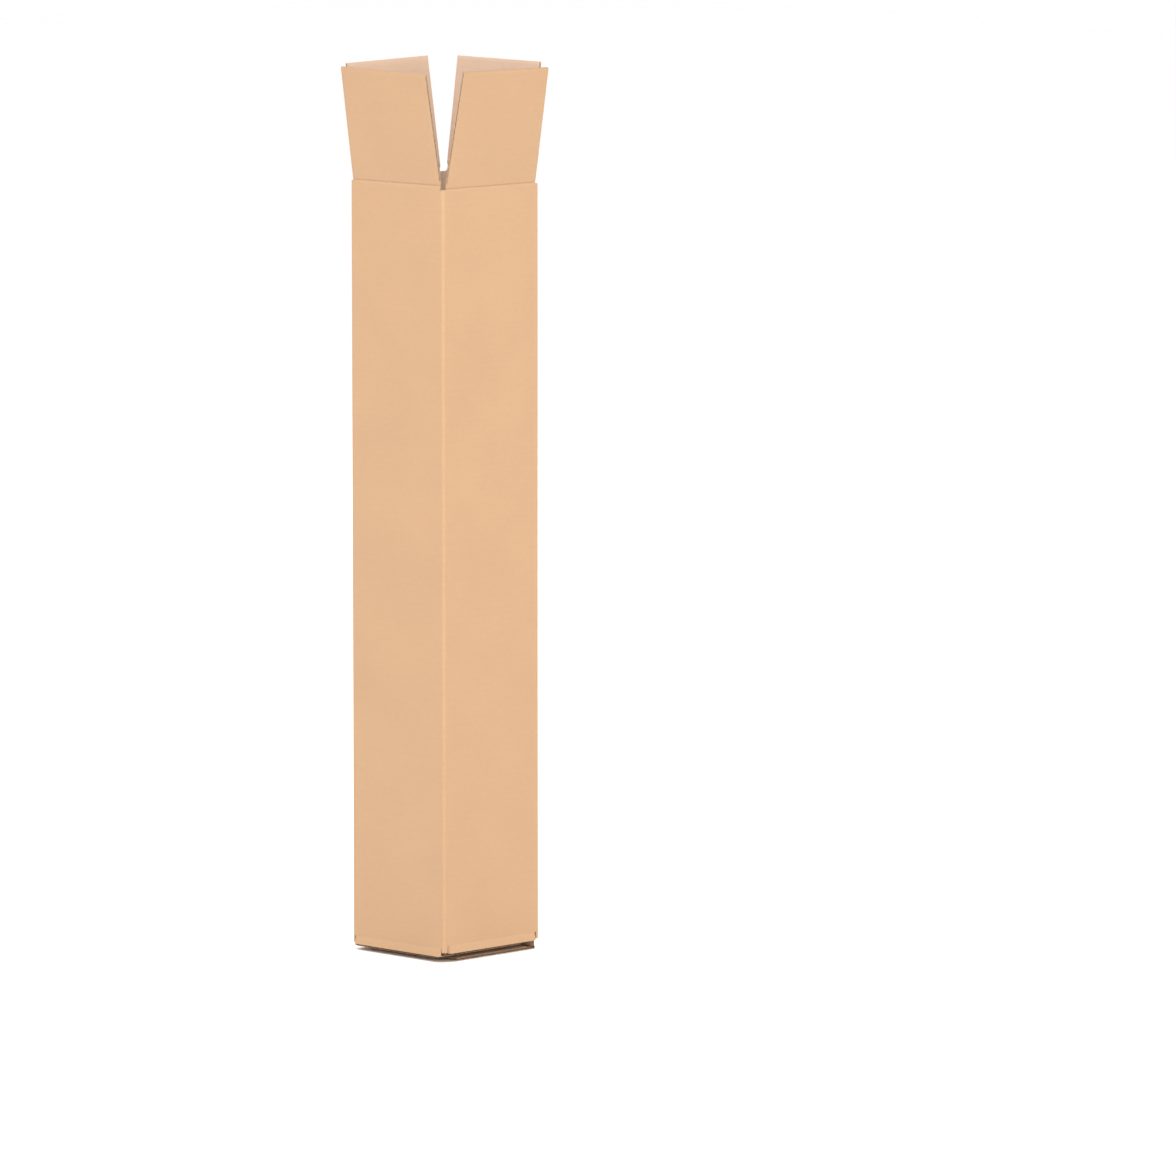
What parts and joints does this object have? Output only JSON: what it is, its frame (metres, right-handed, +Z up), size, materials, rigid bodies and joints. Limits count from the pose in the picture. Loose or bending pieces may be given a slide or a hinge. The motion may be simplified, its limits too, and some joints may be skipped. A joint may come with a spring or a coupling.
{
  "type": "square mailing tube",
  "caption": "Tall square tube of corrugated kraft board, open at the top with its end flaps sprung outwards, closed at the base by overlapping flaps.",
  "frame": {"origin": "centre of the base, on the surface that the tube stands on", "axes": "+Z up along the tube; the front wall faces -Y and the left wall faces -X, so the picture's camera looks along about +X +Y"},
  "size_m": [0.1642, 0.1693, 0.8976],
  "materials": {
    "kraft_board": "matte brown kraft liner with faint flute marks"
  },
  "bodies": {
    "tube": {"tube_body": "kraft_board"},
    "top_flap_front": {"top_flap_front": "kraft_board"},
    "top_flap_right": {"top_flap_right": "kraft_board"},
    "top_flap_back": {"top_flap_back": "kraft_board"},
    "top_flap_left": {"top_flap_left": "kraft_board"},
    "bottom_flap_outer": {"bottom_flap_outer": "kraft_board"}
  },
  "joints": [
    {"name": "top_flap_front_hinge", "type": "hinge", "parent": "tube", "child": "top_flap_front", "pos_m": [0, -0.0665, 0.7779], "axis": [1, 0, 0], "range_deg": [-100.8, 164.2]},
    {"name": "top_flap_right_hinge", "type": "hinge", "parent": "tube", "child": "top_flap_right", "pos_m": [0.0665, 0, 0.7878], "axis": [0, 1, 0], "range_deg": [-96.3, 168.7]},
    {"name": "top_flap_back_hinge", "type": "hinge", "parent": "tube", "child": "top_flap_back", "pos_m": [0, 0.0665, 0.7845], "axis": [-1, 0, 0], "range_deg": [-97, 168]},
    {"name": "top_flap_left_hinge", "type": "hinge", "parent": "tube", "child": "top_flap_left", "pos_m": [-0.0665, 0, 0.7812], "axis": [0, -1, 0], "range_deg": [-99.4, 165.6]},
    {"name": "bottom_flap_outer_hinge", "type": "hinge", "parent": "tube", "child": "bottom_flap_outer", "pos_m": [0.0665, 0, 0], "axis": [0, -1, 0], "range_deg": [0, 265]}
  ]
}
